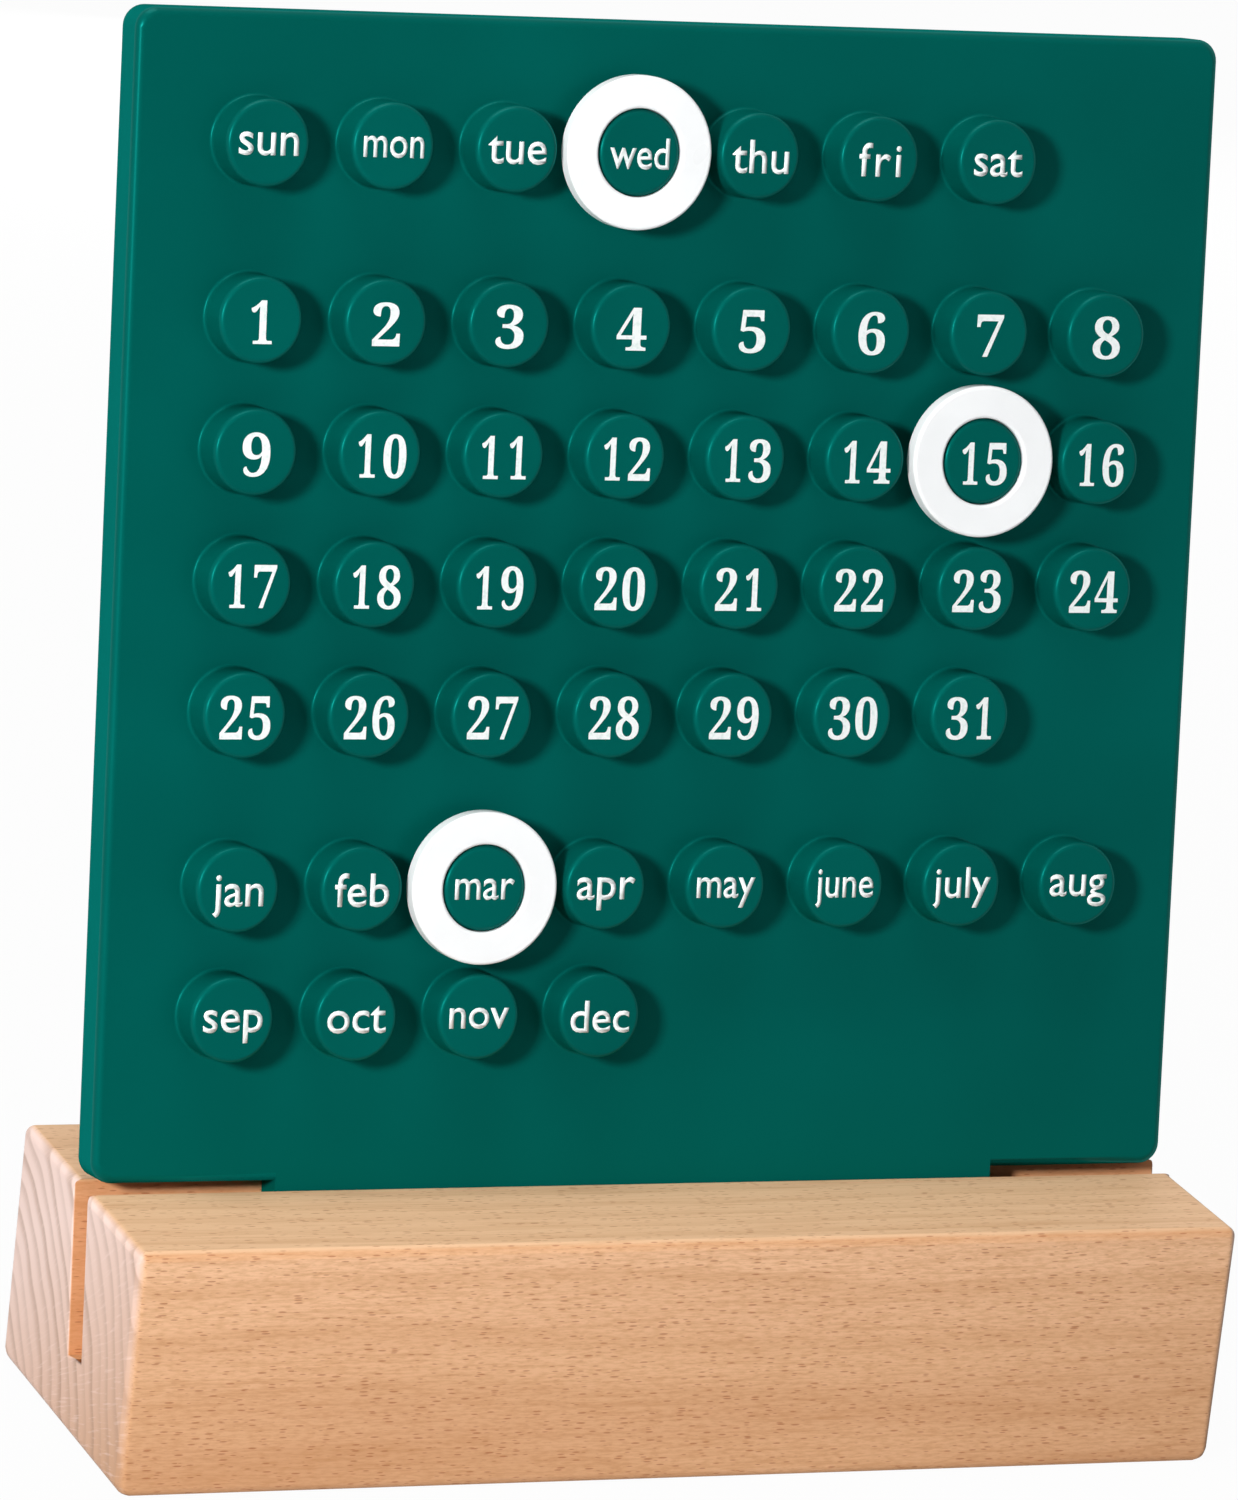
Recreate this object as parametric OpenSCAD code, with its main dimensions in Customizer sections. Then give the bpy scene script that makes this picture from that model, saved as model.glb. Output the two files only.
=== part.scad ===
// Perpetual desk calendar.
// A moulded board full of pegs stands by its tongue in the leaning slot of a
// wooden block, and three rings pushed over pegs mark the weekday, the date and
// the month. X runs along the block, -Y is the front and Z is up. The origin is
// the middle of the block's underside.
// The board and its pegs are one moulding. The pegs are nodes of their own, a
// group for the weekdays, the dates and the months, so that each peg keeps its
// own round shape for contact and the space between them stays free for a ring.

/* [Pegs] */
// Distance from one peg to the next, along a row and down a group of rows
peg_pitch = 15; // [14.5:0.5:20]
// Distance from the last row of one group to the first row of the next
group_pitch = 20; // [18:0.5:28]
// Diameter of a peg at its tip
peg_diameter = 10; // [9:0.5:11]
// Height of a peg above the face of the board
peg_height = 5; // [4.5:0.5:8]
// Rounding of a peg's tip
peg_tip_r = 0.4; // [0.2:0.1:0.6]
// Growth in a peg's radius from behind its ring seat to the board
peg_draft = 0.04; // [0.02:0.01:0.2]
// Fillet at a peg's root
peg_root_r = 0.4; // [0.2:0.1:0.6]
// Diameter of the core behind a peg
core_diameter = 6.4; // [4:0.2:7.4]

/* [Board] */
// Left edge of the board to the first column of pegs
left_margin = 14.5; // [12:0.5:25]
// Last column of pegs to the right edge of the board
right_margin = 15; // [12:0.5:25]
// Upper edge of the board to the first row of pegs
top_margin = 14.8; // [12:0.1:25]
// Last row of pegs to the lower edge of the board
bottom_margin = 19.6; // [12:0.1:30]
// Thickness of the board over its rim
board_thickness = 5.5; // [5:0.1:8]
// Radius of the board's corners
board_corner_r = 2.5; // [1.5:0.1:5]
// Rounding of the board's front edge
board_edge_r = 1; // [0.5:0.1:1.4]
// Wall of the board's face
face_wall = 2.8; // [2:0.1:3.2]
// Wall of the rim round the open back
rim_wall = 2.4; // [1.5:0.1:3]
// Thickness of the ribs behind the face
rib_wall = 1.6; // [1:0.1:2]
// Radius in the corners between the ribs
pocket_r = 1.5; // [0.5:0.1:2]
// How far the board stands to the right of the block's middle
board_shift = -0.5; // [-2:0.1:2]

/* [Tongue] */
// Board's edge to the side of the tongue
shoulder_width = 22.25; // [10:0.25:35]
// Gap between the tongue and each wall of the slot
tongue_play = 0.1; // [0.05:0.05:0.3]
// Gap between the shoulders' rear edge and the block
shoulder_gap = 0.1; // [0.05:0.05:1]
// Gap under the tongue
tongue_gap = 0.05; // [0.02:0.01:0.2]
// Bevel that leads the tongue into the slot
tongue_lead = 0.6; // [0.3:0.1:1]
// Radius of the tongue's lower corners
tongue_corner_r = 2; // [1:0.5:4]

/* [Block] */
// How far the block reaches past each end of the board
end_overhang = 1; // [0.5:0.5:20]
// Depth of the block from front to back
block_depth = 44.5; // [36:0.5:60]
// Height of the block
block_height = 29.5; // [28:0.5:45]
// Rounding of the block's edges
block_edge_r = 1.2; // [0.5:0.1:2]
// Lean of the slot and the board, back from upright
lean = 10; // [0:1:15]
// Width of the slot
slot_width = 5; // [4.8:0.1:6]
// Depth of the slot, down its lean
slot_depth = 20; // [12:0.5:22]

/* [Rings] */
// Gap all round between a ring and its peg
ring_play = 0.1; // [0.05:0.01:0.1]
// Width of a ring from its bore to its rim
ring_width = 3.8; // [2.5:0.1:4]
// Thickness of a ring
ring_thickness = 2.5; // [2:0.1:4]
// How far a ring's face stands in front of its peg
ring_proud = 0.2; // [0:0.1:0.5]
// Rounding of a ring's edges
ring_edge_r = 0.4; // [0.2:0.1:0.8]
// Weekday that the weekday ring marks, counted from the first
weekday = 4; // [1:1:7]
// Date that the date ring marks
date = 15; // [1:1:31]
// Month that the month ring marks
month = 3; // [1:1:12]

/* [Hidden] */
$fn = 64;
row_counts = [7, 8, 8, 8, 7, 8, 4]; // pegs in each row, from the top
columns = 8;
date_row = 1;                       // first row of the dates
month_row = 5;                      // first row of the months
rib_columns = [2, 4, 6];            // a rib stands left of each of these columns
rib_rows = [1, 3, 5];               // a rib runs above each of these rows
over = 1;                           // overrun of a cut

// Drop from the first row to row i; each new group adds its wider gap.
function row_drop(i) =
    i * peg_pitch + (group_pitch - peg_pitch) * ((i >= date_row ? 1 : 0) + (i >= month_row ? 1 : 0));

last_row = len(row_counts) - 1;
board_width = left_margin + (columns - 1) * peg_pitch + right_margin;
board_height = bottom_margin + row_drop(last_row) + top_margin;
block_length = board_width + 2 * end_overhang;
tongue_width = board_width - 2 * shoulder_width;
tongue_thickness = slot_width - 2 * tongue_play;
peg_r = peg_diameter / 2;
peg_root = peg_r + peg_draft;               // radius at a peg's root
seat_length = ring_thickness - ring_proud;  // straight part of a peg, under its ring
ring_bore_r = peg_r + ring_play;

// Lower edge of the board above the slot's mouth, along the lean, so that the
// rear edge of its shoulders just clears the block.
board_lift = (board_thickness - tongue_thickness / 2) * tan(lean) + shoulder_gap / cos(lean);
tongue_length = board_lift + slot_depth - tongue_gap;

// Middle of a peg on the board's face, from the board's lower left corner.
function peg_at(row, column) =
    [left_margin + column * peg_pitch, board_height - top_margin - row_drop(row)];
// The same for entry n of a group that starts at a row and fills rows of eight.
function entry_at(first_row, n) =
    peg_at(first_row + floor((n - 1) / columns), (n - 1) % columns);

// Edges of the back's pockets: the rim's inner sides with the ribs between them.
rib_x = [for (c = rib_columns) left_margin + (c - 0.5) * peg_pitch];
rib_y = [for (r = [len(rib_rows) - 1:-1:0])
    (peg_at(rib_rows[r], 0)[1] + peg_at(rib_rows[r] - 1, 0)[1]) / 2];
function pocket_starts(ribs, rim) = concat([rim], [for (p = ribs) p + rib_wall / 2]);
function pocket_ends(ribs, rim) = concat([for (p = ribs) p - rib_wall / 2], [rim]);

// Rectangle from the origin with all four corners rounded.
module rounded_rect(w, h, r) {
    translate([r, 0]) square([w - 2 * r, h]);
    translate([0, r]) square([w, h - 2 * r]);
    for (x = [r, w - r], y = [r, h - r])
        translate([x, y]) circle(r);
}

// Board frame: x to the right and y up the face from the board's lower left
// corner, z out of the face. The children are set down in the slot with its lean.
module on_board() {
    translate([board_shift - board_width / 2, 0, block_height])
        rotate([90 - lean, 0, 0])
            translate([0, board_lift, tongue_thickness / 2])
                children();
}

// Half section through the board's edge: w wide, face at y = 0, with the front
// edge rounded.
module edge_section(w) {
    translate([0, -board_thickness]) square([w, board_thickness - board_edge_r]);
    translate([0, -board_thickness]) square([w - board_edge_r, board_thickness]);
    translate([w - board_edge_r, -board_edge_r]) circle(board_edge_r);
}

// Plate with round corners and a rounded front edge, built from its side strips,
// its corners and the middle.
module plate(w, h) {
    r = board_corner_r;
    translate([r, r, -board_thickness]) cube([w - 2 * r, h - 2 * r, board_thickness]);
    for (side = [0, 1]) {
        // left and right strips
        translate([side * w, 0, 0]) mirror([1 - side, 0, 0])
            translate([-r, h - r, 0]) rotate([90, 0, 0])
                linear_extrude(h - 2 * r) edge_section(r);
        // lower and upper strips
        translate([0, side * h, 0]) mirror([0, 1 - side, 0])
            translate([r, -r, 0]) rotate([90, 0, 90])
                linear_extrude(w - 2 * r) edge_section(r);
    }
    for (corner = [[w - r, h - r, 0], [r, h - r, 90], [r, r, 180], [w - r, r, 270]])
        translate([corner[0], corner[1], 0])
            rotate(corner[2]) rotate_extrude(angle = 90) edge_section(r);
}

// One peg on the board's face: a rounded tip, a straight ring seat and a drafted root.
module peg() {
    seat_z = peg_height - seat_length;
    rotate_extrude() {
        translate([0, peg_height - 2 * peg_tip_r])
            square([peg_r - peg_tip_r, 2 * peg_tip_r]);
        translate([peg_r - peg_tip_r, peg_height - peg_tip_r]) circle(peg_tip_r);
    }
    translate([0, 0, seat_z]) cylinder(h = seat_length - peg_tip_r, r = peg_r);
    translate([0, 0, peg_root_r])
        cylinder(h = seat_z - peg_root_r, r1 = peg_root, r2 = peg_r);
    cylinder(h = peg_root_r, r = peg_root);
}

// Core that thins the board behind a peg, up to the peg's root.
module peg_core() {
    translate([0, 0, -face_wall - over])
        cylinder(h = face_wall + 2 * over, d = core_diameter);
}

// Fillet between the board's face and a peg's root.
module root_fillet() {
    rotate_extrude() difference() {
        translate([peg_root, -over]) square([peg_root_r, over + peg_root_r]);
        translate([peg_root + peg_root_r, peg_root_r]) circle(peg_root_r);
    }
}

// Tongue below the board, in the board frame, with bevelled and rounded lower corners.
module tongue() {
    intersection() {
        translate([shoulder_width, -tongue_length, -tongue_thickness])
            linear_extrude(tongue_thickness)
                rounded_rect(tongue_width, tongue_length + 2 * tongue_corner_r, tongue_corner_r);
        translate([shoulder_width, 0, 0]) rotate([90, 0, 90]) linear_extrude(tongue_width)
            polygon([
                [rim_wall / 2, 0],
                [tongue_lead - tongue_length, 0],
                [-tongue_length, -tongue_lead],
                [-tongue_length, tongue_lead - tongue_thickness],
                [tongue_lead - tongue_length, -tongue_thickness],
                [rim_wall / 2, -tongue_thickness]
            ]);
    }
}

// One pocket cut into the back between two pairs of edges, up to the face's wall.
module pocket(x0, x1, y0, y1) {
    translate([x0, y0, -board_thickness - over])
        linear_extrude(board_thickness + over - face_wall)
            rounded_rect(x1 - x0, y1 - y0, pocket_r);
}

// Everything that opens the back: pockets between the ribs, the tongue's pockets
// and the cores of the pegs.
module back_cuts() {
    x_starts = pocket_starts(rib_x, rim_wall);
    x_ends = pocket_ends(rib_x, board_width - rim_wall);
    y_starts = pocket_starts(rib_y, rim_wall);
    y_ends = pocket_ends(rib_y, board_height - rim_wall);
    for (i = [0:len(x_starts) - 1], j = [0:len(y_starts) - 1])
        pocket(x_starts[i], x_ends[i], y_starts[j], y_ends[j]);
    for (i = [0:len(x_starts) - 1])
        pocket(
            max(x_starts[i], shoulder_width + rim_wall),
            min(x_ends[i], shoulder_width + tongue_width - rim_wall),
            rim_wall - tongue_length,
            0
        );
    at_each_peg(0, last_row) peg_core();
}

// The children at every peg from one row to another.
module at_each_peg(from_row, to_row) {
    for (row = [from_row:to_row], column = [0:row_counts[row] - 1])
        translate(peg_at(row, column)) children();
}

module calendar_board() {
    color([0, 0.36, 0.31])
        on_board() difference() {
            union() {
                plate(board_width, board_height);
                tongue();
                at_each_peg(0, last_row) root_fillet();
            }
            back_cuts();
        }
}

module pegs(from_row, to_row) {
    color([0, 0.4, 0.34])
        on_board() at_each_peg(from_row, to_row) peg();
}

module weekday_pegs() pegs(0, date_row - 1);
module date_pegs() pegs(date_row, month_row - 1);
module month_pegs() pegs(month_row, last_row);

// Block rounded along every edge, with the slot cut through from end to end.
module base_block() {
    color([0.89, 0.72, 0.55])
        difference() {
            translate([-block_length / 2, -block_depth / 2, 0]) intersection() {
                linear_extrude(block_height)
                    rounded_rect(block_length, block_depth, block_edge_r);
                translate([0, block_depth, 0]) rotate([90, 0, 0]) linear_extrude(block_depth)
                    rounded_rect(block_length, block_height, block_edge_r);
                rotate([90, 0, 90]) linear_extrude(block_length)
                    rounded_rect(block_depth, block_height, block_edge_r);
            }
            translate([0, 0, block_height]) rotate([-lean, 0, 0])
                translate([-block_length / 2 - over, -slot_width / 2, -slot_depth])
                    cube([block_length + 2 * over, slot_width, slot_depth + slot_width]);
        }
}

// Ring seated over the peg at a point of the board's face.
module ring(at) {
    color([0.97, 0.97, 0.96])
        on_board()
            translate([at[0], at[1], peg_height + ring_proud - ring_thickness])
                rotate_extrude()
                    translate([ring_bore_r, 0])
                        rounded_rect(ring_width, ring_thickness, ring_edge_r);
}

module weekday_ring() ring(entry_at(0, weekday));
module date_ring() ring(entry_at(date_row, date));
module month_ring() ring(entry_at(month_row, month));

base_block();
calendar_board();
weekday_pegs();
date_pegs();
month_pegs();
weekday_ring();
date_ring();
month_ring();
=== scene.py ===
import math

import bmesh
import bpy
from mathutils import Matrix, Vector, geometry


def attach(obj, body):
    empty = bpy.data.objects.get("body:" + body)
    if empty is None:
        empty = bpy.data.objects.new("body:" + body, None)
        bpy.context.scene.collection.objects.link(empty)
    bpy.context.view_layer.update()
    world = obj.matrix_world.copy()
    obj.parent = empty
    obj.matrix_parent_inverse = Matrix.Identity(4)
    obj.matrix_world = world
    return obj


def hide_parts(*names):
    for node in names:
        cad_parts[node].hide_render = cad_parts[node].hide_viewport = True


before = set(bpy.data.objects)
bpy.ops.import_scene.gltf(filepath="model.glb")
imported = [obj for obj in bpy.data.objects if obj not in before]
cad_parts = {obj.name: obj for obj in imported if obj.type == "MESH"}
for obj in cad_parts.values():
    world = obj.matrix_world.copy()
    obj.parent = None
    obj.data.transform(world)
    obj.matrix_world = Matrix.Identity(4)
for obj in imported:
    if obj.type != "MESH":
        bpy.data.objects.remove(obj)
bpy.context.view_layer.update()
millimetre = 0.001
# What the wood, the board and the block share
lean = math.radians(10)       # of the slot, and so of the board
blockHeight = 29.5            # mm
print("frame loaded:", ", ".join(sorted(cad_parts)))


# sRGB hex to the linear colour that a shader takes
def linear(hexColour):
    channels = [int(hexColour[i:i + 2], 16) / 255 for i in (1, 3, 5)]
    return [c / 12.92 if c <= 0.04045 else ((c + 0.055) / 1.055) ** 2.4
            for c in channels] + [1.0]


# Adds a node. An input takes a node, whose first live output is linked, an output
# socket or a plain value.
def addNode(tree, kind, inputs=None, **settings):
    node = tree.nodes.new(kind)
    for name, value in settings.items():
        setattr(node, name, value)
    for socket, value in (inputs or {}).items():
        if isinstance(value, bpy.types.Node):
            value = next(output for output in value.outputs if output.enabled)
        if isinstance(value, bpy.types.NodeSocket):
            tree.links.new(value, node.inputs[socket])
        else:
            node.inputs[socket].default_value = value
    return node


def newMaterial(name):
    material = bpy.data.materials.new(name)
    material.use_nodes = True
    material.node_tree.nodes.clear()
    return material, material.node_tree


# The object's coordinates counted in cells of the given size in mm
def cells(tree, size):
    place = addNode(tree, "ShaderNodeTexCoord").outputs["Object"]
    return addNode(tree, "ShaderNodeMapping", {
        "Vector": place, "Scale": [1 / (millimetre * s) for s in size],
    })


# ABS moulded in a finely sparked tool: a deep green with a satin sheen
greenAbs = {
    "base": "#00534C",
    "shade": "#004D46",
    "sheen": (0.02, 0.95, 0.85, 1),
    "sheenLevel": 0.2,        # seen straight on
    "grazingLevel": 0.0,      # seen at a slant
    "slantGloss": 0.09,       # most of the tinted mirror at a slant
    "roughness": 0.34,
    "flowSize": 34,           # mm
    "grainSize": 0.22,        # mm
    "grainHeight": 0.004,     # mm
}
# ABS moulded in a polished tool: clean white with a soft gloss
whiteAbs = {
    "base": "#F5F7F8",
    "shade": "#F0F2F3",
    "sheen": (1, 1, 1, 1),
    "sheenLevel": 0.5,
    "grazingLevel": 0.4,
    "slantGloss": 0.0,
    "roughness": 0.3,
    "flowSize": 9,
    "grainSize": 0.35,
    "grainHeight": 0.003,
}
glossChange = 0.03            # of the roughness, where the melt flowed


# The tone and the gloss change a little where the melt flowed, over a faint grain.
# Seen at a slant, the skin mirrors its surroundings in the colour of its sheen.
def mouldedAbs(name, settings):
    material, tree = newMaterial(name)
    rough, sheen = settings["roughness"], settings["sheen"]
    flow = addNode(tree, "ShaderNodeTexNoise", {
        "Vector": cells(tree, [settings["flowSize"]] * 3),
        "Scale": 1.0, "Detail": 2.0, "Roughness": 0.5,
    })
    grain = addNode(tree, "ShaderNodeTexNoise", {
        "Vector": cells(tree, [settings["grainSize"]] * 3),
        "Scale": 1.0, "Detail": 2.0, "Roughness": 0.6,
    })
    tone = addNode(tree, "ShaderNodeMapRange", {
        "Value": flow, "From Min": 0.35, "From Max": 0.65,
    })
    colour = addNode(tree, "ShaderNodeMix", {
        0: tone, 6: linear(settings["shade"]), 7: linear(settings["base"]),
    }, data_type="RGBA")
    gloss = addNode(tree, "ShaderNodeMapRange", {
        "Value": flow, "From Min": 0.3, "From Max": 0.7,
        "To Min": rough - glossChange, "To Max": rough + glossChange,
    })
    facing = addNode(tree, "ShaderNodeLayerWeight", {"Blend": 0.5}).outputs["Facing"]
    level = addNode(tree, "ShaderNodeMapRange", {
        "Value": facing, "From Min": 0.15, "From Max": 0.6,
        "To Min": settings["sheenLevel"], "To Max": settings["grazingLevel"],
    })
    bump = addNode(tree, "ShaderNodeBump", {
        "Strength": 0.5, "Distance": settings["grainHeight"] * millimetre, "Height": grain,
    })
    shader = addNode(tree, "ShaderNodeBsdfPrincipled", {
        "Base Color": colour,
        "Roughness": gloss,
        "IOR": 1.53,
        "Specular IOR Level": level,
        "Specular Tint": sheen,
        "Normal": bump,
    })
    mirror = addNode(tree, "ShaderNodeBsdfGlossy", {
        "Color": sheen, "Roughness": rough, "Normal": bump,
    })
    slant = addNode(tree, "ShaderNodeMapRange", {
        "Value": facing, "From Min": 0.3, "From Max": 0.65, "To Max": settings["slantGloss"],
    })
    skin = addNode(tree, "ShaderNodeMixShader", {
        0: slant, 1: shader.outputs[0], 2: mirror.outputs[0],
    })
    addNode(tree, "ShaderNodeOutputMaterial", {"Surface": skin})
    return material


# Pad-printed ink: a thin matt white film that covers a little unevenly
printedInk = {
    "base": "#ECF1F0",
    "thin": "#D9E5E2",
    "roughness": 0.55,
    "spotSize": 0.5,          # mm
}


def padPrint(name, settings):
    material, tree = newMaterial(name)
    spots = addNode(tree, "ShaderNodeTexNoise", {
        "Vector": cells(tree, [settings["spotSize"]] * 3),
        "Scale": 1.0, "Detail": 2.0, "Roughness": 0.5,
    })
    cover = addNode(tree, "ShaderNodeMapRange", {
        "Value": spots, "From Min": 0.3, "From Max": 0.5,
    })
    colour = addNode(tree, "ShaderNodeMix", {
        0: cover, 6: linear(settings["thin"]), 7: linear(settings["base"]),
    }, data_type="RGBA")
    shader = addNode(tree, "ShaderNodeBsdfPrincipled", {
        "Base Color": colour, "Roughness": settings["roughness"], "IOR": 1.5,
    })
    addNode(tree, "ShaderNodeOutputMaterial", {"Surface": shader})
    return material


# Beech, planed, sanded and oiled. Its growth layers lie round a pith that runs along
# the block; the rays show as short dark dashes on the sides and as fine pale lines
# across the layers on the sawn ends. Sizes in mm: along the block, across it and up.
beech = {
    "light": "#E2B086",
    "dark": "#D9A57C",
    # painted light: the paler tone of the sides' upper part
    "upper": "#F3C39B",
    # the top's paler tone: partly the wood's own colour, partly painted light from above
    "top": "#F0C69E",
    # painted shade: the darker, warmer tone inside the slot
    "slot": "#D0834A",
    "layer": "#BB8250",
    "fleck": "#95491E",
    "endLight": "#EACFC5",
    "endDeep": "#BE906B",
    "endLayer": "#97755F",
    "pith": (41, -14),        # back and up from the middle of the underside
    "layerSpacing": 3.0,
    "layerSway": 7.0,
    "swaySize": (120, 22, 22),
    "lateWood": (0.3, 0.88),  # share of a year where its wood darkens, and is darkest
    "palestYear": 0.35,       # as a share of the darkest
    "broadSize": (90, 12, 9),
    "mottleSize": (1.3, 0.24, 0.24),
    "fibreSize": (12, 0.4, 0.4),
    "fibreHeight": 0.02,
    "fleckSize": (1.8, 0.32, 0.32),  # one dash in each such cell
    "fleckReach": (0.1, 0.33),       # and the part of the cell that it fills
    "upperFrom": (8, 26),     # height over which painted light turns the sides paler
    "upperEnd": (28.2, 29.1),  # and where that painted light fades out at the upper edge
    "topFrom": (29.1, 29.45),  # where the top's paler tone, partly painted light from above, sets in
    "slotHalf": (2.6, 3.0),   # beside the slot's middle, where its painted shade fades and ends
    "endSlope": (0, 14, 24),  # change of the ends' tone for each metre
    "endTone": (-0.3, 0.65),  # the slope's values at the deep and at the light tone
    "rayLength": 4.0,
    "raysPerRadian": 150.0,
    "endOn": (0.2, 0.75),     # how squarely a surface faces an end to show end grain
    "roughness": 0.55,
}
# How strongly each tone covers the ones below it
beechCover = {
    # painted light on the sides' upper part
    "upper": 0.85,
    "mottle": 0.4,
    # partly painted light from above
    "top": 0.72,
    "layer": 0.26,
    "fibre": 0.4,
    # painted shade inside the slot
    "slot": 0.55,
    "fleck": 0.53,
    "endLayer": 0.55,
    "ray": 0.45,
}


# The place round the pith, the distance from it, and 0 to 1 for how dark the growth
# layer is there. A layer darkens slowly to its end; some years are stronger.
def growthLayers(tree, place):
    pithY, pithZ = beech["pith"]
    fromPith = addNode(tree, "ShaderNodeMapping", {
        "Vector": place,
        "Location": (0, -pithY, -pithZ),
        "Scale": (0, 1 / millimetre, 1 / millimetre),
    })
    radius = addNode(tree, "ShaderNodeVectorMath", {0: fromPith}, operation="LENGTH")
    sway = addNode(tree, "ShaderNodeTexNoise", {
        "Vector": cells(tree, beech["swaySize"]),
        "Scale": 1.0, "Detail": 2.0, "Roughness": 0.5,
    })
    swayed = addNode(tree, "ShaderNodeMath", {
        0: sway, 1: beech["layerSway"], 2: radius,
    }, operation="MULTIPLY_ADD")
    years = addNode(tree, "ShaderNodeMath", {
        0: swayed, 1: beech["layerSpacing"],
    }, operation="DIVIDE")
    season = addNode(tree, "ShaderNodeMath", {0: years}, operation="FRACT")
    darkens, darkest = beech["lateWood"]
    summer = addNode(tree, "ShaderNodeMapRange", {
        "Value": season, "From Min": darkens, "From Max": darkest,
    }, interpolation_type="SMOOTHSTEP")
    winter = addNode(tree, "ShaderNodeMapRange", {
        "Value": season, "From Min": darkest, "From Max": 1.0, "To Min": 1.0, "To Max": 0.0,
    })
    line = addNode(tree, "ShaderNodeMath", {0: summer, 1: winter}, operation="MULTIPLY")
    year = addNode(tree, "ShaderNodeMath", {0: years}, operation="FLOOR")
    chance = addNode(tree, "ShaderNodeTexWhiteNoise", {"W": year}, noise_dimensions="1D")
    strength = addNode(tree, "ShaderNodeMapRange", {
        "Value": chance, "To Min": beech["palestYear"], "To Max": 1.0,
    })
    layer = addNode(tree, "ShaderNodeMath", {0: line, 1: strength}, operation="MULTIPLY")
    return fromPith, radius, layer


# How much of each height's tone shows: painted light that makes the sides' upper part paler, and
# the top's paler tone, partly its own colour and partly painted light from above
def heightTones(tree, place):
    height = addNode(tree, "ShaderNodeSeparateXYZ", {0: place}).outputs[2]
    low, high = (millimetre * z for z in beech["upperFrom"])
    rise = addNode(tree, "ShaderNodeMapRange", {
        "Value": height, "From Min": low, "From Max": high, "To Max": beechCover["upper"],
    })
    low, high = (millimetre * z for z in beech["upperEnd"])
    fall = addNode(tree, "ShaderNodeMapRange", {
        "Value": height, "From Min": low, "From Max": high, "To Min": 1.0, "To Max": 0.0,
    })
    upper = addNode(tree, "ShaderNodeMath", {0: rise, 1: fall}, operation="MULTIPLY")
    low, high = (millimetre * z for z in beech["topFrom"])
    top = addNode(tree, "ShaderNodeMapRange", {
        "Value": height, "From Min": low, "From Max": high, "To Max": beechCover["top"],
    }, interpolation_type="SMOOTHSTEP")
    return upper, top


# How much of the painted shade inside the slot shows: a darker, warmer tone for the shade and warm
# bounce light there. The slot's plane leans and meets the middle of the top.
def slotTone(tree, place):
    slope = addNode(tree, "ShaderNodeVectorMath", {
        0: place, 1: (0, 1, -math.tan(lean)),
    }, operation="DOT_PRODUCT")
    aside = addNode(tree, "ShaderNodeMath", {
        0: slope, 1: millimetre * blockHeight * math.tan(lean),
    }, operation="ADD")
    beside = addNode(tree, "ShaderNodeMath", {0: aside}, operation="ABSOLUTE")
    full, gone = (millimetre * half for half in beech["slotHalf"])
    return addNode(tree, "ShaderNodeMapRange", {
        "Value": beside, "From Min": full, "From Max": gone,
        "To Min": beechCover["slot"], "To Max": 0.0,
    })


# How much of the rays' dashes shows, each of a chance length
def fleckTone(tree):
    dashes = addNode(tree, "ShaderNodeTexVoronoi", {
        "Vector": cells(tree, beech["fleckSize"]), "Scale": 1.0, "Randomness": 1.0,
    }, feature="F1", distance="EUCLIDEAN")
    chance = addNode(tree, "ShaderNodeSeparateColor", {"Color": dashes.outputs["Color"]})
    least, most = beech["fleckReach"]
    reach = addNode(tree, "ShaderNodeMapRange", {
        "Value": chance, "From Min": 0.1, "From Max": 1.0, "To Min": least, "To Max": most,
    })
    inside = addNode(tree, "ShaderNodeMath", {
        0: reach, 1: dashes.outputs["Distance"],
    }, operation="SUBTRACT")
    return addNode(tree, "ShaderNodeMapRange", {
        "Value": inside, "From Min": -0.04, "From Max": 0.08, "To Max": beechCover["fleck"],
    })


# The planed sides: a broad tone, with the others laid over it in turn
def sideColour(tree, place, layer, fibre):
    broad = addNode(tree, "ShaderNodeTexNoise", {
        "Vector": cells(tree, beech["broadSize"]),
        "Scale": 1.0, "Detail": 3.0, "Roughness": 0.55,
    })
    tone = addNode(tree, "ShaderNodeMapRange", {
        "Value": broad, "From Min": 0.35, "From Max": 0.65,
    })
    side = addNode(tree, "ShaderNodeMix", {
        0: tone, 6: linear(beech["dark"]), 7: linear(beech["light"]),
    }, data_type="RGBA")
    upper, top = heightTones(tree, place)
    mottle = addNode(tree, "ShaderNodeTexNoise", {
        "Vector": cells(tree, beech["mottleSize"]),
        "Scale": 1.0, "Detail": 2.0, "Roughness": 0.6,
    })
    speckle = addNode(tree, "ShaderNodeMapRange", {
        "Value": mottle, "From Min": 0.4, "From Max": 0.7, "To Max": beechCover["mottle"],
    })
    soft = addNode(tree, "ShaderNodeMath", {
        0: layer, 1: beechCover["layer"],
    }, operation="MULTIPLY")
    streak = addNode(tree, "ShaderNodeMapRange", {
        "Value": fibre, "From Min": 0.5, "From Max": 0.75, "To Max": beechCover["fibre"],
    })
    # Laid over in turn: painted light on the upper sides, mottle, the top's tone with its painted
    # light, growth layers, fibres, painted shade in the slot and the rays' dashes
    for share, colour in ((upper, "upper"), (speckle, "layer"), (top, "top"), (soft, "layer"),
                          (streak, "layer"), (slotTone(tree, place), "slot"),
                          (fleckTone(tree), "fleck")):
        side = addNode(tree, "ShaderNodeMix", {
            0: share, 6: side, 7: linear(beech[colour]),
        }, data_type="RGBA")
    return side


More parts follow.
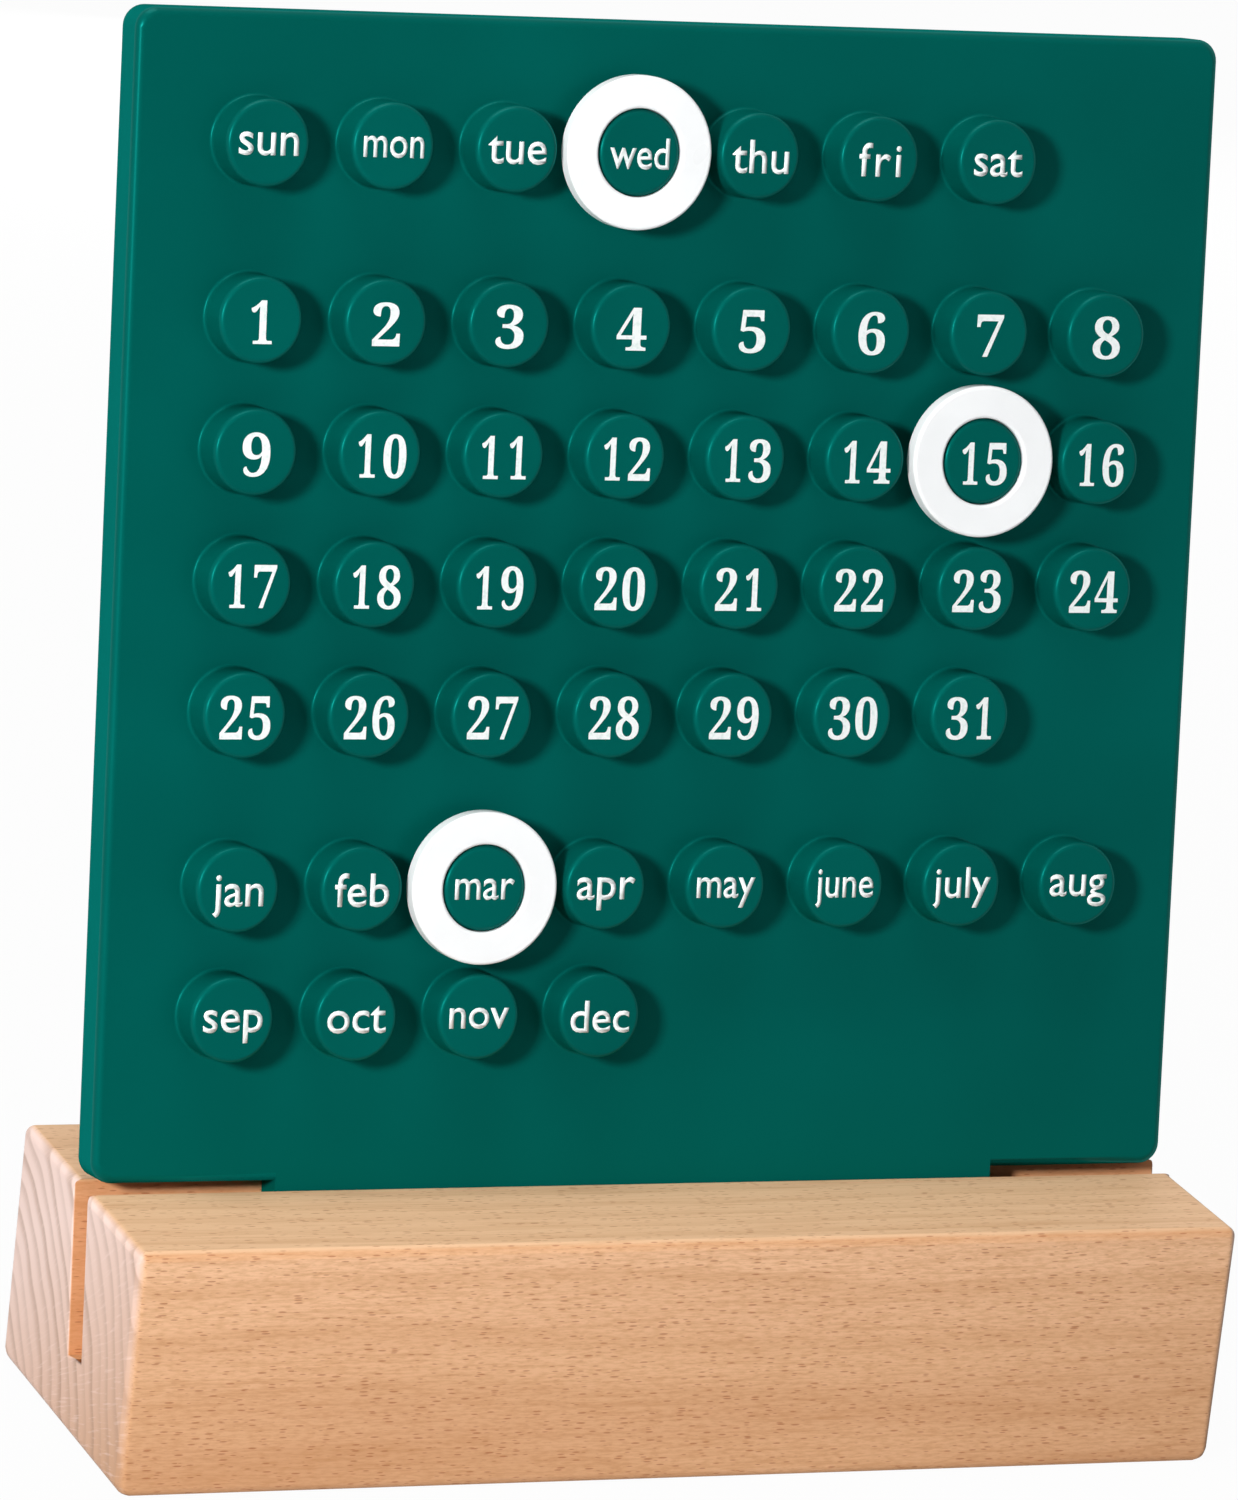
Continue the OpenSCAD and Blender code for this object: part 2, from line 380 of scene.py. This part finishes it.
# The sawn ends: a tone that deepens to the lower front, layers and pale rays
def endColour(tree, place, fromPith, radius, layer):
    slope = addNode(tree, "ShaderNodeVectorMath", {
        0: place, 1: beech["endSlope"],
    }, operation="DOT_PRODUCT")
    low, high = beech["endTone"]
    tone = addNode(tree, "ShaderNodeMapRange", {
        "Value": slope, "From Min": low, "From Max": high,
    })
    end = addNode(tree, "ShaderNodeMix", {
        0: tone, 6: linear(beech["endDeep"]), 7: linear(beech["endLight"]),
    }, data_type="RGBA")
    firm = addNode(tree, "ShaderNodeMath", {
        0: layer, 1: beechCover["endLayer"],
    }, operation="MULTIPLY")
    spot = addNode(tree, "ShaderNodeSeparateXYZ", {0: fromPith})
    angle = addNode(tree, "ShaderNodeMath", {
        0: spot.outputs[2], 1: spot.outputs[1],
    }, operation="ARCTAN2")
    fan = addNode(tree, "ShaderNodeCombineXYZ", {
        0: addNode(tree, "ShaderNodeMath", {
            0: radius, 1: beech["rayLength"],
        }, operation="DIVIDE"),
        1: addNode(tree, "ShaderNodeMath", {
            0: angle, 1: beech["raysPerRadian"],
        }, operation="MULTIPLY"),
    })
    rays = addNode(tree, "ShaderNodeTexNoise", {"Vector": fan, "Scale": 1.0, "Detail": 2.0})
    ray = addNode(tree, "ShaderNodeMapRange", {
        "Value": rays, "From Min": 0.55, "From Max": 0.75, "To Max": beechCover["ray"],
    })
    for share, colour in ((firm, "endLayer"), (ray, "endLight")):
        end = addNode(tree, "ShaderNodeMix", {
            0: share, 6: end, 7: linear(beech[colour]),
        }, data_type="RGBA")
    return end


def sandedBeech(name):
    material, tree = newMaterial(name)
    place = addNode(tree, "ShaderNodeTexCoord").outputs["Object"]
    fromPith, radius, layer = growthLayers(tree, place)
    fibre = addNode(tree, "ShaderNodeTexNoise", {
        "Vector": cells(tree, beech["fibreSize"]),
        "Scale": 1.0, "Detail": 3.0, "Roughness": 0.6,
    })
    side = sideColour(tree, place, layer, fibre)
    end = endColour(tree, place, fromPith, radius, layer)
    normal = addNode(tree, "ShaderNodeNewGeometry").outputs["Normal"]
    alongBlock = addNode(tree, "ShaderNodeSeparateXYZ", {0: normal}).outputs[0]
    endOn = addNode(tree, "ShaderNodeMath", {0: alongBlock}, operation="ABSOLUTE")
    low, high = beech["endOn"]
    share = addNode(tree, "ShaderNodeMapRange", {
        "Value": endOn, "From Min": low, "From Max": high,
    })
    colour = addNode(tree, "ShaderNodeMix", {0: share, 6: side, 7: end}, data_type="RGBA")
    bump = addNode(tree, "ShaderNodeBump", {
        "Strength": 0.5, "Distance": beech["fibreHeight"] * millimetre, "Height": fibre,
    })
    shader = addNode(tree, "ShaderNodeBsdfPrincipled", {
        "Base Color": colour,
        "Roughness": beech["roughness"],
        "IOR": 1.5,
        "Specular IOR Level": 0.25,
        "Normal": bump,
    })
    addNode(tree, "ShaderNodeOutputMaterial", {"Surface": shader})
    return material


boardPlastic = mouldedAbs("mouldedAbsGreen", greenAbs)
ringPlastic = mouldedAbs("mouldedAbsWhite", whiteAbs)
legendInk = padPrint("padPrintedInk", printedInk)
blockWood = sandedBeech("sandedBeech")
print("materials made")


# Meshes are made in millimetres and brought to metres by the place they are given.
# A small rounding has one point between its ends, this share of its radius inwards.
bend = 0.3


def roundedLoop(x0, y0, x1, y1, radius, steps):
    points = []
    for cx, cy, start in ((x0 + radius, y0 + radius, 180), (x1 - radius, y0 + radius, 270),
                          (x1 - radius, y1 - radius, 0), (x0 + radius, y1 - radius, 90)):
        for i in range(steps + 1):
            angle = math.radians(start + 90 * i / steps)
            points.append((cx + radius * math.cos(angle), cy + radius * math.sin(angle)))
    return points


def circleLoop(cx, cy, radius, count):
    angles = [2 * math.pi * i / count for i in range(count)]
    return [(cx + radius * math.cos(a), cy + radius * math.sin(a)) for a in angles]


def addLoop(bm, points, z):
    return [bm.verts.new((x, y, z)) for x, y in points]


# Quads between two rows of vertices. Steps in skip stay open.
def loft(bm, a, b, closed=True, skip=()):
    count = len(a) if closed else len(a) - 1
    for i in range(count):
        if i not in skip:
            j = (i + 1) % len(a)
            bm.faces.new((a[i], a[j], b[j], b[i]))


# Flat triangles inside an outline, with convex holes left open
def fillFlat(bm, outline, holes=()):
    loops = [outline] + list(holes)
    verts = [v for loop in loops for v in loop]
    owner = [n for n, loop in enumerate(loops) for _ in loop]
    edges, start = [], 0
    for loop in loops:
        edges += [(start + i, start + (i + 1) % len(loop)) for i in range(len(loop))]
        start += len(loop)
    flat = [v.co.xy for v in verts]
    insideOnly, tolerance = 1, 1e-6
    triangles = geometry.delaunay_2d_cdt(flat, edges, [], insideOnly, tolerance)[2]
    for triangle in triangles:
        owners = {owner[i] for i in triangle}
        if len(owners) == 1 and owners != {0}:
            continue
        bm.faces.new([verts[i] for i in triangle])


def meshFrom(bm, name):
    mesh = bpy.data.meshes.new(name)
    bm.to_mesh(mesh)
    bm.free()
    return mesh


def addObject(name, data):
    obj = bpy.data.objects.new(name, data)
    bpy.context.scene.collection.objects.link(obj)
    return obj


# A finished piece: its mesh gets its place, its material and its body.
def addPiece(name, mesh, place, material, body):
    mesh.transform(place)
    mesh.materials.clear()
    mesh.materials.append(material)
    for polygon in mesh.polygons:
        polygon.material_index = 0
    piece = addObject(name, mesh)
    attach(piece, body)
    return piece


# The object's mesh with its modifiers carried out, and the object removed
def settled(obj):
    bpy.context.view_layer.update()
    evaluated = obj.evaluated_get(bpy.context.evaluated_depsgraph_get())
    mesh = bpy.data.meshes.new_from_object(evaluated)
    bpy.data.objects.remove(obj)
    return mesh


# Smooth shading that leaves the large faces flat
def evenlyShaded(obj):
    obj.data.shade_smooth()
    even = obj.modifiers.new("even", "WEIGHTED_NORMAL")
    even.weight = 80
    return settled(obj)


# The board's own frame: x to the right, y up the face, z out of it
board = {
    "width": 134.5,
    "height": 134.4,
    "thickness": 5.5,
    "corner": 2.5,
    "cornerSteps": 8,
    "frontRounding": 1.0,
    "frontSteps": 6,
    "backRounding": 0.3,
    "faceWall": 2.8,
    "rimWall": 2.4,
    "ribWall": 1.6,
    "ribX": (37.0, 67.0, 97.0),
    "ribY": (44.6, 77.1, 109.6),
    "pocketCorner": 1.5,
    "pocketSteps": 5,
    "pocketFillet": 0.5,
    "leftMargin": 14.5,
    "topRow": 119.6,
    "pitch": 15.0,
    "rowDrops": (0, 20, 35, 50, 65, 85, 100),
    "rowCounts": (7, 8, 8, 8, 7, 8, 4),
    "lowerLeft": (-67.75, 0.6482, 2.4),  # along the block, up the lean, before the slot's middle
    "weld": 0.002,
}
tongue = {
    "shoulder": 22.25,
    "length": 20.598,
    "thickness": 4.8,
    "corner": 2.0,
    "cornerSteps": 6,
    "lead": 0.6,
    "pocketTop": -0.5,
}
peg = {
    "radius": 5.0,
    "height": 5.0,
    "tipRounding": 0.65,
    "tipSteps": 5,
    "rootRadius": 5.04,
    "rootFillet": 0.4,
    "rootSteps": 4,
    "seatStart": 2.7,
    "coreRadius": 3.2,
    "coreRounding": 0.2,
    "segments": 64,
}

right = Vector((1, 0, 0))
up = Vector((0, math.sin(lean), math.cos(lean)))
out = Vector((0, -math.cos(lean), math.sin(lean)))
boardX, boardY, boardZ = board["lowerLeft"]
corner = Vector((boardX, 0, blockHeight)) + boardY * up + boardZ * out
boardPlace = Matrix.Scale(millimetre, 4) @ Matrix((
    (right.x, up.x, out.x, corner.x),
    (right.y, up.y, out.y, corner.y),
    (right.z, up.z, out.z, corner.z),
    (0, 0, 0, 1),
))


def pegPlaces(rows):
    return [(board["leftMargin"] + board["pitch"] * column,
             board["topRow"] - board["rowDrops"][row])
            for row in rows for column in range(board["rowCounts"][row])]


allRows = range(len(board["rowCounts"]))


# Radius and height from the root's fillet over the seat to the rounded tip
def pegProfile():
    root, fillet, tip = peg["rootRadius"], peg["rootFillet"], peg["tipRounding"]
    profile = []
    for i in range(peg["rootSteps"] + 1):
        angle = math.radians(270 - 90 * i / peg["rootSteps"])
        profile.append((root + fillet + fillet * math.cos(angle),
                        fillet + fillet * math.sin(angle)))
    profile.append((peg["radius"], peg["seatStart"]))
    for i in range(peg["tipSteps"] + 1):
        angle = math.radians(90 * i / peg["tipSteps"])
        profile.append((peg["radius"] - tip + tip * math.cos(angle),
                        peg["height"] - tip + tip * math.sin(angle)))
    return profile


# The same of the blind core behind a peg, from its mouth in the pocket's floor
def coreProfile():
    core, soft, mouth = peg["coreRadius"], peg["coreRounding"], -board["faceWall"]
    return [(core + soft, mouth), (core + bend * soft, bend * soft + mouth),
            (core, soft + mouth), (core, -soft), (core - bend * soft, -bend * soft),
            (core - soft, 0)]


# One peg with its core, open where it joins the board
def pegShape():
    bm = bmesh.new()
    for line in (pegProfile(), coreProfile()):
        rings = [addLoop(bm, circleLoop(0, 0, r, peg["segments"]), z) for r, z in line]
        for a, b in zip(rings, rings[1:]):
            loft(bm, a, b)
        bm.faces.new(rings[-1])
    return meshFrom(bm, "pegShape")


# Puts a copy of the peg on every point it is given
def pegTree(shape, material):
    tree = bpy.data.node_groups.new("pegsOnBoard", "GeometryNodeTree")
    tree.interface.new_socket("Places", in_out="INPUT", socket_type="NodeSocketGeometry")
    size = tree.interface.new_socket("Size", in_out="INPUT", socket_type="NodeSocketFloat")
    size.default_value = 1.0
    tree.interface.new_socket("Pegs", in_out="OUTPUT", socket_type="NodeSocketGeometry")
    given = addNode(tree, "NodeGroupInput")
    source = addNode(tree, "GeometryNodeObjectInfo", {"Object": shape})
    spread = addNode(tree, "GeometryNodeInstanceOnPoints", {
        "Points": given.outputs["Places"],
        "Instance": source.outputs["Geometry"],
        "Scale": given.outputs["Size"],
    })
    real = addNode(tree, "GeometryNodeRealizeInstances", {"Geometry": spread.outputs[0]})
    dressed = addNode(tree, "GeometryNodeSetMaterial", {
        "Geometry": real.outputs[0], "Material": material,
    })
    addNode(tree, "NodeGroupOutput", {"Pegs": dressed.outputs[0]})
    return tree, size


def allPegs():
    shape = addObject("onePeg", pegShape())
    points = bpy.data.meshes.new("pegPlaces")
    points.from_pydata([(x, y, 0) for x, y in pegPlaces(allRows)], [], [])
    carrier = addObject("pegPlaces", points)
    tree, size = pegTree(shape, boardPlastic)
    grow = carrier.modifiers.new("pegs", "NODES")
    grow.node_group = tree
    grow[size.identifier] = 1.0
    mesh = settled(carrier)
    bpy.data.objects.remove(shape)
    return mesh


# Outline of the plate at one depth, with a vertex at each side of the tongue.
# The tongue's step comes straight after the lower left corner.
tongueStep = board["cornerSteps"] + 1


def plateLoop(inset):
    points = roundedLoop(inset, inset, board["width"] - inset, board["height"] - inset,
                         board["corner"] - inset, board["cornerSteps"])
    sides = [(tongue["shoulder"], inset), (board["width"] - tongue["shoulder"], inset)]
    return points[:tongueStep] + sides + points[tongueStep:]


# Lower outline of the tongue, from its left side round to its right side
def tonguePath(lowest):
    x0, x1 = tongue["shoulder"], board["width"] - tongue["shoulder"]
    steps = tongue["cornerSteps"]
    points = roundedLoop(x0, -tongue["length"], x1, 0, tongue["corner"], steps)
    return [(x, max(y, lowest)) for x, y in points[:2 * (steps + 1)]]


# A pocket from its mouth in the flat back at `top` to its floor, with a rounded lip
# and a filleted floor. Returns the mouth's loop.
def sinkPocket(bm, x0, y0, x1, y1, top, cores):
    lip, fillet, floor = board["backRounding"], board["pocketFillet"], -board["faceWall"]
    rows = []
    for z, grow in ((top, lip), (top + bend * lip, bend * lip), (top + lip, 0),
                    (floor - fillet, 0), (floor - bend * fillet, -bend * fillet),
                    (floor, -fillet)):
        outline = roundedLoop(x0 - grow, y0 - grow, x1 + grow, y1 + grow,
                              board["pocketCorner"] + grow, board["pocketSteps"])
        rows.append(addLoop(bm, outline, z))
    for a, b in zip(rows, rows[1:]):
        loft(bm, a, b)
    rim = peg["coreRadius"] + peg["coreRounding"]
    inside = [addLoop(bm, circleLoop(x, y, rim, peg["segments"]), floor)
              for x, y in cores if x0 < x < x1 and y0 < y < y1]
    fillFlat(bm, rows[-1], inside)
    return rows[0]


# Where the pockets lie between the rim and the ribs
def pocketSpans(ribs, size):
    half, rim = board["ribWall"] / 2, board["rimWall"]
    starts = [rim] + [rib + half for rib in ribs]
    ends = [rib - half for rib in ribs] + [size - rim]
    return list(zip(starts, ends))


# The plate's edge in rings from its back round to its face. From the ring level with
# the tongue's back, whose number comes with them, it is open at the tongue.
def plateEdge(bm):
    back, lip, rounding = -board["thickness"], board["backRounding"], board["frontRounding"]
    backSteps = [(back, lip), (back + bend * lip, bend * lip), (back + lip, 0)]
    angles = [math.radians(90 * i / board["frontSteps"]) for i in range(board["frontSteps"] + 1)]
    frontSteps = [(-rounding * (1 - math.sin(a)), rounding * (1 - math.cos(a))) for a in angles]
    levels = backSteps + [(-tongue["thickness"], 0)] + frontSteps
    rings = [addLoop(bm, plateLoop(inset), z) for z, inset in levels]
    flush = len(backSteps)
    for i, (a, b) in enumerate(zip(rings, rings[1:])):
        loft(bm, a, b, skip=() if i < flush else (tongueStep,))
    return rings, flush


# The tongue's walls from its back to its face, joined to the open rings of the plate
def tongueWalls(bm, openRings):
    lead, length, thickness = tongue["lead"], tongue["length"], tongue["thickness"]
    paths = [addLoop(bm, tonguePath(lowest), z) for z, lowest in (
        (-thickness, lead - length), (lead - thickness, -length),
        (-lead, -length), (0, lead - length))]
    for a, b in zip(paths, paths[1:]):
        loft(bm, a, b, closed=False)
    for side, end in ((tongueStep, 0), (tongueStep + 1, -1)):
        sides = [ring[side] for ring in openRings] + [path[end] for path in reversed(paths)]
        bm.faces.new(sides)
    return paths


# The front with a round opening for each peg, and the two flat backs with their pockets
def flatFaces(bm, rings, flush, paths):
    face, level = rings[-1], rings[flush]
    places = pegPlaces(allRows)
    rootEdge = peg["rootRadius"] + peg["rootFillet"]
    fillFlat(bm, face[tongueStep + 1:] + face[:tongueStep + 1] + paths[-1],
             [addLoop(bm, circleLoop(x, y, rootEdge, peg["segments"]), 0) for x, y in places])
    xSpans = pocketSpans(board["ribX"], board["width"])
    ySpans = pocketSpans(board["ribY"], board["height"])
    fillFlat(bm, rings[0], [sinkPocket(bm, x0, y0, x1, y1, -board["thickness"], places)
                            for x0, x1 in xSpans for y0, y1 in ySpans])
    rim = board["rimWall"]
    left, far = tongue["shoulder"] + rim, board["width"] - tongue["shoulder"] - rim
    low, high = rim - tongue["length"], tongue["pocketTop"]
    fillFlat(bm, [level[tongueStep]] + paths[0] + [level[tongueStep + 1]],
             [sinkPocket(bm, max(x0, left), low, min(x1, far), high, -tongue["thickness"], ())
              for x0, x1 in xSpans])


def boardMoulding():
    bm = bmesh.new()
    rings, flush = plateEdge(bm)
    paths = tongueWalls(bm, rings[flush:])
    flatFaces(bm, rings, flush, paths)
    pegs = allPegs()
    bm.from_mesh(pegs)
    bpy.data.meshes.remove(pegs)
    bmesh.ops.remove_doubles(bm, verts=bm.verts, dist=board["weld"])
    bmesh.ops.recalc_face_normals(bm, faces=bm.faces)
    openEdges = sum(not e.is_manifold for e in bm.edges)
    print("board:", len(bm.faces), "faces,", openEdges, "open edges")
    return evenlyShaded(addObject("boardShape", meshFrom(bm, "boardMoulding")))


moulding = addPiece("boardMoulding", boardMoulding(), boardPlace, boardPlastic,
                    "board")
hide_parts("calendar_board", "weekday_pegs", "date_pegs", "month_pegs")
print("board made")


# Plain legends, printed on the pegs' tips
legends = {
    "thickness": 0.03,
    "digitHeight": 4.95,
    "digitBase": 2.7,         # below the middle of the peg
    "singleWidth": 3.35,
    "pairWidth": 2.7,         # of each of two digits
    "pairSpacing": 3.4,
    "oneNarrower": 0.78,
    "glyphWidth": 0.48,       # of a usual digit one em high
    "glyphHeight": 0.718,
    "wordSize": 5.5,
    "wordWeight": 0.007,
    "widestWord": 7.3,
    "narrowestWord": 5.2,     # a narrower one is spaced and spread out
    "wideSpacing": 1.15,
    "wordDrop": 0.05,         # of its middle below the middle of the peg
    "shortWord": 3,           # letters; a longer word is lifted
    "longWordLift": 0.4,
    "lowestWide": 0.93,       # share of its height that a wide word keeps at least
    "curveSteps": 4,
    "weld": 0.0005,
}
boldSerifZero = 0x1D7CE
weekdayNames = ("sun", "mon", "tue", "wed", "thu", "fri", "sat")
monthNames = ("jan", "feb", "mar", "apr", "may", "june",
              "july", "aug", "sep", "oct", "nov", "dec")


# Flat glyphs, one em high, and the box they fill: left, bottom, right, top
def glyphMesh(text, weight=0.0, spacing=1.0):
    curve = bpy.data.curves.new("legend", "FONT")
    curve.body = text
    curve.size = 1.0
    curve.offset = weight
    curve.space_character = spacing
    curve.resolution_u = legends["curveSteps"]
    curve.fill_mode = "FRONT"
    mesh = settled(addObject("legend", curve))
    xs = [v.co.x for v in mesh.vertices]
    ys = [v.co.y for v in mesh.vertices]
    return mesh, (min(xs), min(ys), max(xs), max(ys))


# A glyph's mesh scaled, with the middle of its width and its baseline at x, y
def printGlyph(bm, mesh, box, wide, high, x, y):
    mesh.transform(Matrix.Translation((x - (box[0] + box[2]) / 2 * wide, y, peg["height"]))
                   @ Matrix.Diagonal((wide, high, 1, 1)))
    bm.from_mesh(mesh)
    bpy.data.meshes.remove(mesh)


# Bold serif digits, narrower where there are two
def printNumber(bm, number, x, y):
    single = len(number) == 1
    usual = legends["singleWidth"] if single else legends["pairWidth"]
    high = legends["digitHeight"] / legends["glyphHeight"]
    for i, digit in enumerate(number):
        mesh, box = glyphMesh(chr(boldSerifZero + int(digit)))
        narrower = legends["oneNarrower"] if digit == "1" else 1
        wide = usual / legends["glyphWidth"] * narrower
        shift = 0 if single else (i - 0.5) * legends["pairSpacing"]
        printGlyph(bm, mesh, box, wide, high, x + shift, y - legends["digitBase"])


def printWord(bm, word, x, y):
    high = legends["wordSize"]
    mesh, box = glyphMesh(word, legends["wordWeight"])
    if (box[2] - box[0]) * high < legends["narrowestWord"]:
        bpy.data.meshes.remove(mesh)
        mesh, box = glyphMesh(word, legends["wordWeight"], legends["wideSpacing"])
    width = box[2] - box[0]
    wide = min(max(high, legends["narrowestWord"] / width), legends["widestWord"] / width)
    high *= min(1, max(wide / high, legends["lowestWide"]))
    lift = legends["longWordLift"] if len(word) > legends["shortWord"] else 0
    printGlyph(bm, mesh, box, wide, high, x,
               y - box[3] * high / 2 - (legends["wordDrop"] - lift))


def legendPiece(name, texts, rows):
    bm = bmesh.new()
    for text, (x, y) in zip(texts, pegPlaces(rows)):
        if text.isdigit():
            printNumber(bm, text, x, y)
        else:
            printWord(bm, text, x, y)
    bmesh.ops.remove_doubles(bm, verts=bm.verts, dist=legends["weld"])
    printed = bmesh.ops.extrude_face_region(bm, geom=bm.faces[:])
    bmesh.ops.translate(bm, vec=(0, 0, legends["thickness"]),
                        verts=[v for v in printed["geom"] if isinstance(v, bmesh.types.BMVert)])
    bmesh.ops.recalc_face_normals(bm, faces=bm.faces)
    return addPiece(name, meshFrom(bm, name), boardPlace, legendInk, "board")


legendPiece("weekdayLegends", weekdayNames, [0])
legendPiece("dateLegends", [str(day + 1) for day in range(31)], [1, 2, 3, 4])
legendPiece("monthLegends", monthNames, [5, 6])
print("legends made")


block = {
    "length": 136.5,
    "depth": 44.5,
    "rounding": 1.2,
    "lowEndRounding": 2.0,    # of the lower edges across both ends
    "slotRounding": 0.25,
    "roundingSteps": 6,
    "slotWidth": 5.0,
    "slotDepth": 20.0,
}


# The section across the block, with its slot: y and z
def blockSection():
    half, top = block["depth"] / 2, blockHeight
    wide, deep = block["slotWidth"] / 2, block["slotDepth"]
    lip = wide / math.cos(lean)
    acrossY, acrossZ = wide * math.cos(lean), wide * math.sin(lean)
    downY, downZ = deep * math.sin(lean), deep * math.cos(lean)
    front = (-acrossY - downY, top + acrossZ - downZ)
    rear = (acrossY - downY, top - acrossZ - downZ)
    return [(-half, 0), (half, 0), (half, top), (lip, top), rear, front, (-lip, top), (-half, top)]


# What one of its edges is rounded by. The two edges along the slot's floor stay sharp.
def edgeRounding(edge):
    near = 1                  # mm
    ends = [v.co for v in edge.verts]
    run = ends[0] - ends[1]
    inSlot = all(p.z > near and abs(p.y) < block["depth"] / 2 - near for p in ends)
    if inSlot and all(p.z < blockHeight - near for p in ends) and abs(run.x) > near:
        return 0
    if inSlot:
        return block["slotRounding"]
    if all(p.z < near for p in ends) and abs(run.y) > near:
        return block["lowEndRounding"]
    return block["rounding"]


def beechBlock():
    bm = bmesh.new()
    half = block["length"] / 2
    ends = [[bm.verts.new((x, y, z)) for y, z in blockSection()] for x in (-half, half)]
    loft(bm, ends[0], ends[1])
    for end in ends:
        bm.faces.new(end)
    bmesh.ops.recalc_face_normals(bm, faces=bm.faces)
    weight = bm.edges.layers.float.new("bevel_weight_edge")
    for edge in bm.edges:
        edge[weight] = edgeRounding(edge) / block["lowEndRounding"]
    obj = addObject("blockShape", meshFrom(bm, "beechBlock"))
    soften = obj.modifiers.new("soften", "BEVEL")
    soften.limit_method = "WEIGHT"
    soften.width = block["lowEndRounding"]
    soften.segments = block["roundingSteps"]
    soften.use_clamp_overlap = False
    return evenlyShaded(obj)


blockPiece = addPiece("beechBlock", beechBlock(), Matrix.Scale(millimetre, 4), blockWood,
                      "base")
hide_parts("base_block")
for name in ("weekday_ring", "date_ring", "month_ring"):
    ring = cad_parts[name]
    if not ring.material_slots:
        ring.data.materials.append(ringPlastic)
    for holder in ring.material_slots:
        holder.material = ringPlastic
print("block and rings made")


studio = {
    "floor": "#B4B4B4",
    "floorSize": 6.0,         # m
    "floorWhite": 0.97,       # how far the floor is raised to white for the camera
    "ambient": 0.03,
    "middle": (0, 0, 0.08),   # m, where the softboxes point
}
softboxes = {
    # name: watts, size in m, position in m, whether a gloss shows it
    "key": (8.8, 0.12, (-0.65, -0.55, 0.37), True),
    "frontFill": (0.16, 0.25, (0.3, -0.45, 0.06), False),
    "overhead": (6.3, 0.6, (-0.15, -0.02, 1.1), True),
    "backFill": (3.4, 0.1, (0.25, 0.75, 0.06), False),
}


# 1 for a ray that shows the background: from the camera, off a gloss or through glass
def backgroundRay(tree):
    rays = addNode(tree, "ShaderNodeLightPath").outputs
    seen = addNode(tree, "ShaderNodeMath", {
        0: rays["Is Camera Ray"], 1: rays["Is Glossy Ray"],
    }, operation="MAXIMUM")
    return addNode(tree, "ShaderNodeMath", {
        0: seen, 1: rays["Is Transmission Ray"],
    }, operation="MAXIMUM")


# A pale floor that reads as white and still shows a soft shadow
def paleFloor():
    material, tree = newMaterial("paleFloor")
    raised = addNode(tree, "ShaderNodeMath", {
        0: backgroundRay(tree), 1: studio["floorWhite"],
    }, operation="MULTIPLY")
    matt = addNode(tree, "ShaderNodeBsdfDiffuse", {"Color": linear(studio["floor"])})
    white = addNode(tree, "ShaderNodeEmission", {"Color": (1, 1, 1, 1), "Strength": 1.0})
    shader = addNode(tree, "ShaderNodeMixShader", {
        0: raised, 1: matt.outputs[0], 2: white.outputs[0],
    })
    addNode(tree, "ShaderNodeOutputMaterial", {"Surface": shader})
    half = studio["floorSize"] / 2
    corners = [(-half, -half, 0), (half, -half, 0), (half, half, 0), (-half, half, 0)]
    mesh = bpy.data.meshes.new("floor")
    mesh.from_pydata(corners, [], [(0, 1, 2, 3)])
    mesh.materials.append(material)
    addObject("floor", mesh)


def studioWorld():
    world = bpy.data.worlds.new("studio")
    world.use_nodes = True
    tree = world.node_tree
    tree.nodes.clear()
    strength = addNode(tree, "ShaderNodeMapRange", {
        "Value": backgroundRay(tree), "To Min": studio["ambient"], "To Max": 1.0,
    })
    sky = addNode(tree, "ShaderNodeBackground", {"Color": (1, 1, 1, 1), "Strength": strength})
    addNode(tree, "ShaderNodeOutputWorld", {"Surface": sky})
    bpy.context.scene.world = world


def softbox(name, watts, size, position, inGloss):
    lamp = bpy.data.lights.new(name, "AREA")
    lamp.energy = watts
    lamp.shape = "SQUARE"
    lamp.size = size
    obj = addObject(name, lamp)
    obj.location = position
    aim = Vector(studio["middle"]) - Vector(position)
    obj.rotation_euler = aim.to_track_quat("-Z", "Y").to_euler()
    obj.visible_camera = False
    obj.visible_glossy = inGloss


paleFloor()
studioWorld()
for name, settings in softboxes.items():
    softbox(name, *settings)

camera = {
    "lens": 210.1,            # mm
    "sensor": 36,             # mm
    "position": (-0.381009, -0.895909, 0.359248),
    "turn": -22.598,          # degrees
    "tilt": 74.045,
    "roll": 6.49409,
}


def studioCamera():
    viewer = addObject("camera", bpy.data.cameras.new("camera"))
    viewer.data.lens = camera["lens"]
    viewer.data.sensor_width = camera["sensor"]
    viewer.location = camera["position"]
    turn, tilt, roll = (math.radians(camera[angle]) for angle in ("turn", "tilt", "roll"))
    viewer.rotation_euler = (
        Matrix.Rotation(turn, 3, "Z") @ Matrix.Rotation(tilt, 3, "X")
        @ Matrix.Rotation(roll, 3, "Z")
    ).to_euler()
    return viewer


bpy.context.scene.camera = studioCamera()
bpy.context.scene.view_settings.view_transform = "Standard"
print("studio made")
